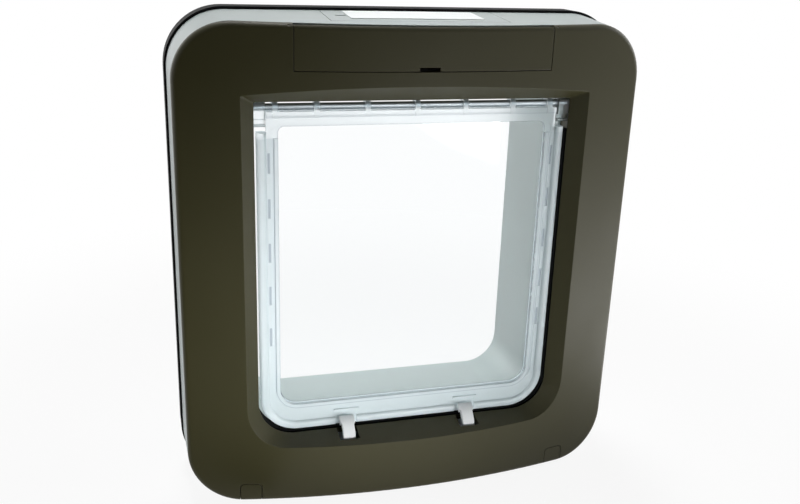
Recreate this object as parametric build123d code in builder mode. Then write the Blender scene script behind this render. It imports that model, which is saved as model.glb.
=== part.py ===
from build123d import *
from math import cos, pi, radians, sin, sqrt
import os

os.makedirs("parts", exist_ok=True)

# A cat flap that stands on its base and faces -Y, with +X to the viewer's right.
# The origin is under the middle of the part, on the surface it stands on.
# Depths are measured back from the middle of the face, heights up from the base.

# Housing
face_width = 210.0
face_height = 221.0
face_bulge = 13.3
face_corner = 25.0
edge_softness = 2.4
fascia_thickness = 3.0
shell_wall = 2.4
rear_spread = 1.1
rear_rise = 2.9
seam_gap = 0.3

# Sloped recess around the opening, and the sill walls behind it
side_border = 32.8
top_border = 32.7
opening_corner = 17.0
opening_top_corner = 0.8
recess_depth = 14.5
side_slope = 0.86
top_slope = 0.55
bottom_slope = 0.2
corner_slope = 0.3
recess_wall = 2.2
sill_step = 1.0

# Tunnel through the door
sill_behind = 6.0
tunnel_length = 60.5
tunnel_wall = 2.2
tunnel_top_room = 0.7
tunnel_front_drop = 2.3
tunnel_rear_drop = 6.1
tunnel_rear_spread = 0.4
tunnel_flange = 6.0
tunnel_flange_thickness = 2.2

# Outer frame on the far side of the door
frame_depth = 16.0
frame_wall = 2.6
frame_proud_side = 0.9
frame_proud_top = 1.2
frame_edge = 4.0
frame_room = 0.4

# Flap
rim_set_back = 0.5
hinge_headroom = 0.2
rod_radius = 1.5
running_gap = 0.05
flap_side_gap = 1.2
flap_bottom_gap = 1.0
flap_corner_ease = 0.5
pane_thickness = 2.4
rim_width = 4.2
rim_depth = 6.0
rim_round = 1.7
ridge_width = 1.8
ridge_height = 1.6
ridge_inset = 7.3
ridge_drop = 2.5
ridge_lift = 4.0
shoulder_room = 2.1
bar_height = 2.5
bar_gap = 0.4
bar_depth = 5.0
knuckle_width = 2.2
knuckle_wall = 1.4
knuckle_pitch = 22.5
knuckle_end_gap = 3.7
band_height = 3.8
band_proud = 0.5
band_corner = 3.0
band_step = 1.3
dash_width = 1.0
dash_length = 9.0
dash_pitch = 20.4
dash_depth = 0.8
dash_count = 5
dash_start = 13.3

# Hinge clips
clip_width = 4.9
clip_depth = 6.4
clip_drop = 8.2
clip_rise = 2.6
clip_hook = 2.2
clip_round = 1.2

# Latches
latch_spread = 60.4
latch_width = 5.8
latch_tip_width = 7.2
latch_thickness = 2.4
latch_radius = 12.1
latch_pane_gap = 0.8
latch_shaft_drop = 7.0
latch_tip_angle = 107.0
latch_tip_length = 18.0
latch_tail_angle = 205.0
latch_travel = 56.0
latch_hub_radius = 3.2
latch_hub_width = 8.4
latch_arm = 3.0
latch_slot_gap = 1.2
latch_slot_rear = 1.0
latch_slot_height = 11.0
keeper_gap = 1.6
keeper_top_gap = 2.6
keeper_lip = 1.0

# Latch drive
shaft_radius = 1.5
gear_module = 0.75
pinion_teeth = 10
sector_teeth = 30
gear_width = 3.2
gear_gap = 3.5
pinion_angle = -100.0
tooth_share = 0.4
tooth_foot = 1.5
tooth_crest = 0.55
addendum_share = 0.8
dedendum_share = 1.13
gear_floor_gap = 0.4
sector_spare = 12.0
gear_hub_radius = 3.0
motor_radius = 4.8
motor_flat = 3.9
motor_bite = 5.0
motor_length = 11.0
motor_shaft_radius = 0.8
bracket_wall = 1.4
bracket_upright = 3.0
bracket_half_width = 3.4
bracket_front = 7.0
bracket_rear = 10.0
bearing_gap = 2.1
motor_plate_gap = 2.2

# Battery compartment
cover_side_gap = 1.1
cover_thickness = 2.4
cover_pin_radius = 0.6
cover_pin_length = 2.2
cover_pin_share = 0.6
cover_pin_drop = 0.8
cover_chamfer = 1.6
notch_width = 9.0
notch_height = 1.6
cell_radius = 7.1
cell_length = 50.5
cell_nub_radius = 2.7
cell_nub_length = 1.2
cell_gap = 0.25
tray_wall = 1.2
tray_front_gap = 1.1
tray_rear_gap = 0.25
tray_floor_gap = 0.1
contact_thickness = 0.5
contact_size = 9.0
contact_bump = 1.1
button_radius = 1.8
button_travel = 1.5
button_flange = 0.7
button_flange_length = 1.2
button_proud = 1.6
button_block = 6.6
button_block_front = 9.5
button_bore = 4.5
switch_size = 3.4
switch_height = 2.4

# Reader electronics
board_width = 19.0
board_height = 96.0
board_thickness = 1.6
board_post_length = 5.4
chip_size = 8.0
chip_pitch = 22.0
chip_count = 3
chip_height = 1.2
board_post_radius = 2.4
coil_width = 5.0
coil_thickness = 4.0
coil_gap = 0.4
coil_setback = 3.0

# Hatch in the top wall, with its label
hatch_width = 80.0
hatch_front = 12.6
hatch_thickness = 1.4
hatch_ledge = 3.5
label_width = 60.0
label_front = 18.4
label_rear_gap = 2.4
label_thickness = 0.25
grip_length = 5.0
grip_width = 1.4
grip_depth = 0.4
grip_edge = 4.6

# Screws and their plugs
plug_width = 9.6
plug_height = 9.2
plug_round = 2.0
plug_inset = 27.6
screw_radius = 2.0
screw_head_radius = 3.2
screw_head_height = 2.4
screw_head_depth = 17.0
screw_boss = 4.6
screw_reach = 10.0
screw_room = 0.2
cover_screw_inset = 12.0
cover_screw_rise = 9.7
cover_screw_drop = 12.3
cover_screw_radius = 1.2
cover_screw_length = 12.0
cover_screw_head = 2.4
cover_screw_head_height = 1.6
cover_boss = 3.4
cover_boss_gap = 1.0
drive_slot = 0.8

# Values that follow from the sizes above
face_radius = ((face_width / 2) ** 2 + face_bulge**2) / (2 * face_bulge)


def face_depth(x):
    return face_radius - sqrt(face_radius**2 - x**2)


# Battery bay, which sets the depth of the housing and the size of the cover
contact_room = contact_thickness + contact_bump
bay_length = 2 * cell_length + 2 * contact_room
bay_height = 2 * (cell_radius + cell_gap)
bay_depth = 4 * cell_radius + 3 * cell_gap
cover_width = tray_wall + seam_gap + bay_length + button_block + cover_side_gap
cover_bottom = face_height - shell_wall - tray_wall - bay_height - tray_floor_gap
cover_pin_depth = face_depth(cover_width / 2) + cover_pin_share * cover_thickness
cover_pin_height = face_height - cover_pin_drop
tray_front = face_depth(cover_width / 2) + cover_thickness + tray_front_gap
rear_inside = tray_front + bay_depth + tray_wall + tray_rear_gap
housing_depth = rear_inside + shell_wall
frame_rear = housing_depth + frame_depth

# Latch drive, which sets the height of the sill
addendum = addendum_share * gear_module
dedendum = dedendum_share * gear_module
gear_distance = gear_module * (pinion_teeth + sector_teeth) / 2
pinion_pitch = gear_module * pinion_teeth / 2
pinion_height = shell_wall + bracket_wall + gear_floor_gap + pinion_pitch + addendum
latch_shaft_height = pinion_height - gear_distance * sin(radians(pinion_angle))
opening_bottom = latch_shaft_height + latch_shaft_drop
opening_top = face_height - top_border
opening_width = face_width - 2 * side_border
bearing_place = latch_spread / 2 + latch_hub_width / 2 + bearing_gap + bracket_upright / 2
gear_place = bearing_place + bracket_upright / 2 + gear_gap + gear_width / 2
motor_plate = gear_place + gear_width / 2 + motor_plate_gap

# Flap, hung from its rod just behind the recess
hinge_depth = recess_depth + rim_set_back + rim_depth / 2
hinge_height = opening_top + sill_step - opening_top_corner - hinge_headroom - clip_rise
tunnel_start = hinge_depth + sill_behind
tunnel_end = tunnel_start + tunnel_length
flap_half = opening_width / 2 - flap_side_gap
flap_bottom = opening_bottom + flap_bottom_gap
flap_corner = opening_corner + flap_corner_ease
shoulder = hinge_height - sqrt((clip_depth / 2) ** 2 + clip_drop**2) - shoulder_room
bar_top = hinge_height - rod_radius - bar_gap
bar_bottom = bar_top - bar_height
bar_half = opening_width / 2 - clip_width - 2 * seam_gap
knuckle_radius = rod_radius + knuckle_wall
pane_front = hinge_depth - pane_thickness / 2
rim_front = hinge_depth - rim_depth / 2
latch_outside = latch_radius + latch_thickness / 2
latch_inside = latch_radius - latch_thickness / 2
latch_shaft_depth = pane_front - latch_pane_gap - latch_inside * cos(radians(latch_tip_angle))
pinion_depth = latch_shaft_depth + gear_distance * cos(radians(pinion_angle))

# The part's depth is centred on the origin
front = -tunnel_end / 2
margin = 12.0
tall = face_height + rear_rise + 2 * margin


def upright(depth):
    # Plane that faces the viewer, with its axes along +X and +Z
    return Plane(origin=(0, front + depth, 0), x_dir=(1, 0, 0), z_dir=(0, -1, 0))


def top_height(depth):
    return face_height + rear_rise * depth / housing_depth


def outline_at(depth, inset=0.0):
    # Rounded outline of the housing at a depth
    width = face_width + 2 * rear_spread * depth / housing_depth - 2 * inset
    height = top_height(depth) - 2 * inset
    with BuildSketch(upright(depth)) as outline:
        with Locations((0, inset + height / 2)):
            RectangleRounded(width, height, face_corner - inset)
    return outline.sketch


def opening_at(depth, grow=0.0, step=0.0):
    # Outline of the opening, wider in front of its inner edge and stepped out behind it
    ahead = max(recess_depth - depth, 0)
    half = opening_width / 2 + side_slope * ahead + step + grow
    top = opening_top + top_slope * ahead + step + grow
    bottom = opening_bottom - bottom_slope * ahead - step - grow
    with BuildSketch(upright(depth)) as section:
        with BuildLine():
            Polyline((-half, top), (-half, bottom), (half, bottom), (half, top), close=True)
        make_face()
        fillet(section.vertices().group_by(Axis.Y)[0], opening_corner + corner_slope * ahead + step + grow)
        fillet(section.vertices().group_by(Axis.Y)[-1], opening_top_corner + grow)
    return section.sketch


def tunnel_at(depth, grow=0.0):
    # Outline of the tunnel, whose floor falls towards the outside
    share = (depth - tunnel_start) / tunnel_length
    half = opening_width / 2 + tunnel_rear_spread * share + grow
    top = opening_top + tunnel_top_room + grow
    drop = tunnel_front_drop + (tunnel_rear_drop - tunnel_front_drop) * share
    bottom = opening_bottom - drop - grow
    with BuildSketch(upright(depth)) as section:
        with BuildLine():
            Polyline((-half, top), (-half, bottom), (half, bottom), (half, top), close=True)
        make_face()
        fillet(section.vertices().group_by(Axis.Y)[0], opening_corner + grow)
        fillet(section.vertices().group_by(Axis.Y)[-1], opening_top_corner + grow)
    return section.sketch


def behind_face(setback, back):
    # Plan of the space between the curved face, set back, and a flat plane
    half = face_width / 2 + rear_spread + margin
    side = front + face_depth(half) + setback
    with BuildSketch(Plane.XY.offset(-margin)) as plan:
        with BuildLine():
            ThreePointArc((-half, side), (0, front + setback), (half, side))
            Polyline((half, side), (half, front + back), (-half, front + back), (-half, side))
        make_face()
    return plan.sketch


def face_band(near, far, height=-margin):
    # Plan of a curved band that follows the face
    half = face_width / 2 + margin
    bend = front + face_depth(half)
    with BuildSketch(Plane.XY.offset(height)) as plan:
        with BuildLine():
            ThreePointArc((-half, bend + near), (0, front + near), (half, bend + near))
            Line((half, bend + near), (half, bend + far))
            ThreePointArc((half, bend + far), (0, front + far), (-half, bend + far))
            Line((-half, bend + far), (-half, bend + near))
        make_face()
    return plan.sketch


def cover_outline(grow=0.0):
    # Battery cover as seen from the front, open at the top edge
    with BuildSketch(upright(0)) as outline:
        with Locations((0, cover_bottom - grow)):
            Rectangle(cover_width + 2 * grow, tall, align=(Align.CENTER, Align.MIN))
    return outline.sketch


def plug_outline(side, grow=0.0):
    # Screw plug as seen from the front, open at the bottom edge
    with BuildSketch(upright(0)) as outline:
        with Locations((side * plug_place, plug_height + grow)):
            Rectangle(plug_width + 2 * grow, plug_height + margin, align=(Align.CENTER, Align.MAX))
        fillet(outline.vertices().group_by(Axis.Y)[-1], plug_round + grow)
    return outline.sketch


def flap_outline(depth, inset=0.0, top=shoulder, lift=0.0):
    # Flap below its shoulders, as seen from the front
    half = flap_half - inset
    low = flap_bottom + inset + lift
    with BuildSketch(upright(depth)) as outline:
        with BuildLine():
            Polyline((-half, top), (-half, low), (half, low), (half, top), close=True)
        make_face()
        fillet(outline.vertices().group_by(Axis.Y)[0], flap_corner - inset)
    return outline.sketch


def polar(radius, angle):
    # Point at an angle about the latch shaft, in the side view
    along = front + latch_shaft_depth + radius * cos(radians(angle))
    up = latch_shaft_height + radius * sin(radians(angle))
    return (along, up)


# Places that several pieces share
plug_place = face_width / 2 - plug_inset
screw_height = shell_wall + screw_head_radius + screw_room
screw_seat = screw_head_depth + screw_head_height
screw_places = [(-plug_place, screw_height), (plug_place, screw_height)]
cover_screw_place = face_width / 2 - cover_screw_inset
cover_screw_places = []
for height in (opening_bottom + cover_screw_rise, opening_top - cover_screw_drop):
    cover_screw_places += [(-cover_screw_place, height), (cover_screw_place, height)]
coil_outside = opening_width / 2 + recess_wall + coil_gap + coil_thickness
board_place = (coil_outside + face_width / 2 - shell_wall) / 2
board_middle = (opening_top + opening_bottom) / 2
board_rear = rear_inside - board_post_length
board_front = board_rear - board_thickness
post_places = [(board_place, board_middle - board_height / 3), (board_place, board_middle + board_height / 3)]

# Helper solids that several pieces are cut from

# Curved fascia plate with its softened edge
with BuildPart() as face_plate:
    loft([outline_at(-margin), outline_at(housing_depth)])
    extrude(face_band(0, fascia_thickness), amount=tall, mode=Mode.INTERSECT)
    fillet(face_plate.faces().sort_by(Axis.Y)[0].outer_wire().edges(), edge_softness)

# Walls of the recess and the sill behind it
with BuildPart() as recess_walls:
    loft([opening_at(recess_depth, recess_wall), opening_at(-margin, recess_wall)])
    extrude(opening_at(tunnel_start, recess_wall, sill_step), amount=tunnel_start - recess_depth)
    extrude(behind_face(fascia_thickness / 2, tunnel_start), amount=tall, mode=Mode.INTERSECT)

# Front cover
with BuildPart() as front_cover:
    add(face_plate.part)
    add(recess_walls.part)
    loft([opening_at(recess_depth), opening_at(-margin)], mode=Mode.SUBTRACT)
    sill_length = tunnel_start - recess_depth
    extrude(opening_at(tunnel_start, step=sill_step), amount=sill_length, mode=Mode.SUBTRACT)
    # Battery opening and the sockets for the cover's pins
    extrude(cover_outline(seam_gap), amount=-housing_depth, both=True, mode=Mode.SUBTRACT)
    with Locations((0, front + cover_pin_depth, cover_pin_height)):
        Cylinder(cover_pin_radius + running_gap, cover_width + 2 * cover_pin_length + 2 * seam_gap,
                 rotation=(0, 90, 0), mode=Mode.SUBTRACT)
    for side in (-1, 1):
        # Plug openings at the bottom edge
        extrude(plug_outline(side, seam_gap), amount=-housing_depth, both=True, mode=Mode.SUBTRACT)
        # Latch slots in the bottom of the recess
        slot_end = recess_depth + latch_slot_rear
        slot_front = latch_shaft_depth - latch_outside - seam_gap
        with Locations((side * latch_spread / 2, front + (slot_front + slot_end) / 2, opening_bottom)):
            Box(latch_tip_width + 2 * latch_slot_gap, slot_end - slot_front, latch_slot_height,
                mode=Mode.SUBTRACT)
    # Bosses for the screws that come from the rear
    boss_front = face_depth(cover_screw_place) + fascia_thickness / 2
    boss_rear = rear_inside - cover_boss_gap
    with BuildSketch(upright(boss_rear)):
        with Locations(*cover_screw_places):
            Circle(cover_boss)
    extrude(amount=boss_rear - boss_front)
    with BuildSketch(upright(boss_rear)):
        with Locations(*cover_screw_places):
            Circle(cover_screw_radius + running_gap)
    extrude(amount=boss_rear - boss_front - fascia_thickness, mode=Mode.SUBTRACT)
front_cover.part.label = "front_cover"
export_step(front_cover.part, "parts/front_cover.step")


def hatch_profile(start, end, top_gap, thickness, place=0.0):
    # Slanted strip in the side view that follows the top wall
    with BuildSketch(Plane.YZ.offset(place)) as strip:
        with BuildLine():
            Polyline(
                (front + start, top_height(start) - top_gap),
                (front + end, top_height(end) - top_gap),
                (front + end, top_height(end) - top_gap - thickness),
                (front + start, top_height(start) - top_gap - thickness),
                close=True,
            )
        make_face()
    return strip.sketch


# Body shell: side walls and the rear wall that sits on the door
with BuildPart() as body_shell:
    loft([outline_at(0), outline_at(housing_depth)])
    extrude(behind_face(fascia_thickness, 2 * housing_depth), amount=tall, mode=Mode.INTERSECT)
    loft([outline_at(-margin, shell_wall), outline_at(rear_inside, shell_wall)], mode=Mode.SUBTRACT)
    # Hole for the tunnel in the rear wall
    extrude(tunnel_at(housing_depth, tunnel_wall + seam_gap), amount=2 * shell_wall, mode=Mode.SUBTRACT)
    # Channels for the long screws
    with BuildSketch(upright(rear_inside)):
        with Locations(*screw_places):
            Circle(screw_boss)
    extrude(amount=rear_inside - screw_seat)
    with BuildSketch(upright(housing_depth)):
        with Locations(*screw_places):
            Circle(screw_radius + screw_room)
    extrude(amount=housing_depth - screw_seat, mode=Mode.SUBTRACT)
    # Counterbored holes for the fascia screws
    with BuildSketch(upright(housing_depth)):
        with Locations(*cover_screw_places):
            Circle(cover_screw_radius + running_gap)
    extrude(amount=shell_wall, mode=Mode.SUBTRACT)
    with BuildSketch(upright(housing_depth)):
        with Locations(*cover_screw_places):
            Circle(cover_screw_head + screw_room)
    extrude(amount=cover_screw_head_height, mode=Mode.SUBTRACT)
    # Posts that carry the circuit board
    with BuildSketch(upright(rear_inside)):
        with Locations(*post_places):
            Circle(board_post_radius)
    extrude(amount=board_post_length)
    # Seat and opening for the hatch in the top wall
    seat = hatch_profile(hatch_front, housing_depth + margin, 0, hatch_thickness)
    extrude(seat, amount=hatch_width / 2, both=True, mode=Mode.SUBTRACT)
    well = hatch_profile(hatch_front + hatch_ledge, rear_inside - hatch_ledge, 0, 2 * shell_wall)
    extrude(well, amount=hatch_width / 2 - hatch_ledge, both=True, mode=Mode.SUBTRACT)
body_shell.part.label = "body_shell"
export_step(body_shell.part, "parts/body_shell.step")

# Top hatch, flush with the top wall, with a small finger grip
with BuildPart() as top_hatch:
    panel = hatch_profile(hatch_front + seam_gap, housing_depth, 0, hatch_thickness)
    extrude(panel, amount=hatch_width / 2 - seam_gap, both=True)
    grip_start = (hatch_front + housing_depth - grip_width) / 2
    grip_place = grip_edge - hatch_width / 2
    groove = hatch_profile(grip_start, grip_start + grip_width, -grip_depth, 2 * grip_depth, grip_place)
    extrude(groove, amount=grip_length, mode=Mode.SUBTRACT)
top_hatch.part.label = "top_hatch"
export_step(top_hatch.part, "parts/top_hatch.step")

# Bare label on the hatch
with BuildPart() as hatch_label:
    label = hatch_profile(label_front, housing_depth - label_rear_gap, -label_thickness, label_thickness)
    extrude(label, amount=label_width / 2, both=True)
hatch_label.part.label = "hatch_label"
export_step(hatch_label.part, "parts/hatch_label.step")

# Tunnel liner, with the flange that sits against the rear wall
with BuildPart() as tunnel_liner:
    loft([tunnel_at(tunnel_start, tunnel_wall), tunnel_at(tunnel_end, tunnel_wall)])
    extrude(tunnel_at(rear_inside, tunnel_wall + tunnel_flange), amount=tunnel_flange_thickness)
    loft([tunnel_at(tunnel_start - margin), tunnel_at(tunnel_end + margin)], mode=Mode.SUBTRACT)
tunnel_liner.part.label = "tunnel_liner"
export_step(tunnel_liner.part, "parts/tunnel_liner.step")

# Outer frame: a hollow ring with a collar around the tunnel
frame_half = face_width / 2 + rear_spread + frame_proud_side
frame_top = top_height(housing_depth) + frame_proud_top
frame_corner = face_corner + frame_proud_side


def frame_outline(depth, inset=0.0):
    with BuildSketch(upright(depth)) as outline:
        with Locations((0, frame_top / 2)):
            RectangleRounded(2 * (frame_half - inset), frame_top - 2 * inset, frame_corner - inset)
    return outline.sketch


with BuildPart() as outer_frame:
    extrude(frame_outline(frame_rear), amount=frame_depth)
    fillet(outer_frame.faces().sort_by(Axis.Y)[-1].outer_wire().edges(), frame_edge)
    extrude(frame_outline(frame_rear - frame_wall, frame_wall), amount=frame_depth, mode=Mode.SUBTRACT)
    collar = tunnel_at(frame_rear, tunnel_wall + frame_room + frame_wall)
    extrude(collar, amount=frame_depth)
    with BuildSketch(upright(frame_rear - frame_wall / 2)):
        with Locations(*screw_places):
            Circle(screw_boss)
    extrude(amount=frame_depth - frame_wall / 2)
    extrude(tunnel_at(frame_rear, tunnel_wall + frame_room), amount=frame_depth, mode=Mode.SUBTRACT)
    with BuildSketch(upright(housing_depth + screw_reach + screw_room)):
        with Locations(*screw_places):
            Circle(screw_radius + running_gap)
    extrude(amount=screw_reach + screw_room, mode=Mode.SUBTRACT)
outer_frame.part.label = "outer_frame"
export_step(outer_frame.part, "parts/outer_frame.step")

# Long screws that clamp the door between the housing and the outer frame
with BuildPart() as fixing_screws:
    with BuildSketch(upright(screw_seat)):
        with Locations(*screw_places):
            Circle(screw_head_radius)
    extrude(amount=screw_head_height)
    with BuildSketch(upright(housing_depth + screw_reach)):
        with Locations(*screw_places):
            Circle(screw_radius)
    extrude(amount=housing_depth + screw_reach - screw_seat)
    with BuildSketch(upright(screw_head_depth + screw_head_height / 2)):
        with Locations(*screw_places):
            Rectangle(2 * screw_head_radius, drive_slot)
    extrude(amount=screw_head_height, mode=Mode.SUBTRACT)
fixing_screws.part.label = "fixing_screws"
export_step(fixing_screws.part, "parts/fixing_screws.step")

# Short screws that hold the fascia to the shell
with BuildPart() as cover_screws:
    with BuildSketch(upright(housing_depth)):
        with Locations(*cover_screw_places):
            Circle(cover_screw_head)
    extrude(amount=cover_screw_head_height)
    with BuildSketch(upright(housing_depth - cover_screw_head_height)):
        with Locations(*cover_screw_places):
            Circle(cover_screw_radius)
    extrude(amount=cover_screw_length)
    with BuildSketch(upright(housing_depth)):
        with Locations(*cover_screw_places):
            Rectangle(2 * cover_screw_head, drive_slot)
    extrude(amount=cover_screw_head_height / 2, mode=Mode.SUBTRACT)
cover_screws.part.label = "cover_screws"
export_step(cover_screws.part, "parts/cover_screws.step")

# Plugs over the long screws
for side, name in ((-1, "screw_plug_left"), (1, "screw_plug_right")):
    with BuildPart() as screw_plug:
        add(face_plate.part)
        extrude(plug_outline(side), amount=-housing_depth, both=True, mode=Mode.INTERSECT)
    screw_plug.part.label = name
    export_step(screw_plug.part, f"parts/{name}.step")

# Battery cover, which turns on two pins at its top corners
with BuildPart() as battery_cover:
    add(face_plate.part)
    extrude(cover_outline(), amount=-housing_depth, both=True, mode=Mode.INTERSECT)
    extrude(face_band(-margin, cover_thickness), amount=tall, mode=Mode.INTERSECT)
    # Relief behind the top edge, so that the cover clears the top wall as it turns
    relief_low = face_height - cover_chamfer
    relief_high = face_height + margin
    relief = [
        face_band(cover_thickness, 2 * margin, relief_low),
        face_band(cover_thickness - relief_high + relief_low, 2 * margin, relief_high),
    ]
    loft(relief, mode=Mode.SUBTRACT)
    with Locations((0, front, cover_bottom)):
        Box(notch_width, 2 * cover_thickness + 2, 2 * notch_height, mode=Mode.SUBTRACT)
    for side in (-1, 1):
        with Locations((side * cover_width / 2, front + cover_pin_depth, cover_pin_height)):
            Cylinder(cover_pin_radius, 2 * cover_pin_length, rotation=(0, 90, 0))
battery_cover.part.label = "battery_cover"
export_step(battery_cover.part, "parts/battery_cover.step")

# Battery tray: two rows of two cells, and a block for the button at its right end
cell_middle = cover_bottom + tray_floor_gap + cell_radius + cell_gap
bay_left = -cover_width / 2 + tray_wall + seam_gap
bay_right = bay_left + bay_length
row_depths = [tray_front + cell_gap + cell_radius, tray_front + 2 * cell_gap + 3 * cell_radius]
button_place = bay_right + button_block / 2
flange_front = button_block_front + button_bore + running_gap
flange_rear = flange_front + button_flange_length
block_rear = flange_rear + button_travel + seam_gap + switch_height
with BuildPart() as battery_tray:
    with Locations(((bay_left + bay_right) / 2, front + tray_front, cell_middle)):
        Box(bay_length + 2 * tray_wall, bay_depth + tray_wall, bay_height + 2 * tray_wall,
            align=(Align.CENTER, Align.MIN, Align.CENTER))
        Box(bay_length, bay_depth, bay_height,
            align=(Align.CENTER, Align.MIN, Align.CENTER), mode=Mode.SUBTRACT)
    with Locations((button_place, front + button_block_front, cell_middle)):
        Box(button_block, block_rear - button_block_front, bay_height,
            align=(Align.CENTER, Align.MIN, Align.CENTER))
    with BuildSketch(upright(block_rear)):
        with Locations((button_place, cell_middle)):
            Circle(button_radius + running_gap)
    extrude(amount=block_rear - button_block_front, mode=Mode.SUBTRACT)
    with BuildSketch(upright(block_rear)):
        with Locations((button_place, cell_middle)):
            Circle(button_radius + button_flange + running_gap)
    extrude(amount=block_rear - button_block_front - button_bore, mode=Mode.SUBTRACT)
battery_tray.part.label = "battery_tray"
export_step(battery_tray.part, "parts/battery_tray.step")

# Four cells, the rows facing opposite ways
cell_number = 0
for row, depth in enumerate(row_depths):
    for column in range(2):
        cell_number += 1
        start = bay_left + contact_room + column * cell_length
        way = 1 if row == 0 else -1
        base = start if way == 1 else start + cell_length
        with BuildPart() as battery:
            with BuildSketch(Plane.YZ.offset(base)):
                with Locations((front + depth, cell_middle)):
                    Circle(cell_radius)
            extrude(amount=way * (cell_length - cell_nub_length))
            with BuildSketch(Plane.YZ.offset(base)):
                with Locations((front + depth, cell_middle)):
                    Circle(cell_nub_radius)
            extrude(amount=way * cell_length)
        battery.part.label = f"battery_{cell_number}"
        export_step(battery.part, f"parts/battery_{cell_number}.step")

# Contact plates at both ends of each row
with BuildPart() as battery_contacts:
    for end, inward in ((bay_left, 1), (bay_right, -1)):
        with BuildSketch(Plane.YZ.offset(end)):
            with Locations(*[(front + depth, cell_middle) for depth in row_depths]):
                Rectangle(contact_size, contact_size)
        extrude(amount=inward * contact_thickness)
        with BuildSketch(Plane.YZ.offset(end)):
            with Locations(*[(front + depth, cell_middle) for depth in row_depths]):
                Circle(cell_nub_radius)
        extrude(amount=inward * contact_room)
battery_contacts.part.label = "battery_contacts"
export_step(battery_contacts.part, "parts/battery_contacts.step")

# Setup button, held in its block by a flange, and the switch behind it
with BuildPart() as setup_button:
    with BuildSketch(upright(flange_front)):
        with Locations((button_place, cell_middle)):
            Circle(button_radius)
    extrude(amount=button_proud + button_bore + running_gap)
    with BuildSketch(upright(flange_rear)):
        with Locations((button_place, cell_middle)):
            Circle(button_radius + button_flange)
    extrude(amount=button_flange_length)
setup_button.part.label = "setup_button"
export_step(setup_button.part, "parts/setup_button.step")

with BuildPart() as button_switch:
    with BuildSketch(upright(block_rear)):
        with Locations((button_place, cell_middle)):
            Rectangle(switch_size, switch_size)
    extrude(amount=switch_height)
button_switch.part.label = "button_switch"
export_step(button_switch.part, "parts/button_switch.step")

# Circuit board with its chips
with BuildPart() as circuit_board:
    with BuildSketch(upright(board_rear)):
        with Locations((board_place, board_middle)):
            Rectangle(board_width, board_height)
    extrude(amount=board_thickness)
    with BuildSketch(upright(board_front)):
        with Locations((board_place, board_middle)):
            with GridLocations(0, chip_pitch, 1, chip_count):
                Rectangle(chip_size, chip_size)
    extrude(amount=chip_height)
circuit_board.part.label = "circuit_board"
export_step(circuit_board.part, "parts/circuit_board.step")

# Antenna coil around the tunnel
with BuildPart() as antenna_coil:
    coil_end = tunnel_start + coil_setback + coil_width
    extrude(tunnel_at(coil_end, tunnel_wall + coil_gap + coil_thickness), amount=coil_width)
    extrude(tunnel_at(coil_end, tunnel_wall + coil_gap), amount=coil_width, mode=Mode.SUBTRACT)
antenna_coil.part.label = "antenna_coil"
export_step(antenna_coil.part, "parts/antenna_coil.step")

# Hinge rod and the clips that hold its ends
with BuildPart() as hinge_rod:
    with Locations((0, front + hinge_depth, hinge_height)):
        Cylinder(rod_radius, opening_width + 2 * sill_step, rotation=(0, 90, 0))
hinge_rod.part.label = "hinge_rod"
export_step(hinge_rod.part, "parts/hinge_rod.step")

for side, name in ((-1, "hinge_clip_left"), (1, "hinge_clip_right")):
    inner_face = side * (opening_width / 2 - clip_width)
    with BuildPart() as hinge_clip:
        with BuildSketch(Plane.YZ.offset(inner_face)) as clip_shape:
            with Locations((front + hinge_depth, hinge_height - clip_drop)):
                Rectangle(clip_depth, clip_drop + clip_rise, align=(Align.CENTER, Align.MIN))
            fillet(clip_shape.vertices(), clip_round)
            with Locations((front + hinge_depth - clip_depth / 2, hinge_height - clip_drop + clip_hook)):
                Rectangle(2 * clip_hook, clip_hook, mode=Mode.SUBTRACT)
            with Locations((front + hinge_depth, hinge_height)):
                Circle(rod_radius + running_gap, mode=Mode.SUBTRACT)
        extrude(amount=side * (clip_width + sill_step))
    hinge_clip.part.label = name
    export_step(hinge_clip.part, f"parts/{name}.step")

# Rounded rim of the flap, open at the top
with BuildPart() as flap_rim:
    with BuildSketch(upright(rim_front + rim_depth)):
        add(flap_outline(rim_front + rim_depth))
        add(flap_outline(rim_front + rim_depth, rim_width), mode=Mode.SUBTRACT)
    extrude(amount=rim_depth)
    for plane_edges in (flap_rim.edges().group_by(Axis.Y)[0], flap_rim.edges().group_by(Axis.Y)[-1]):
        fillet([edge for edge in plane_edges if edge.center().Z < shoulder - seam_gap], rim_round)

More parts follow.
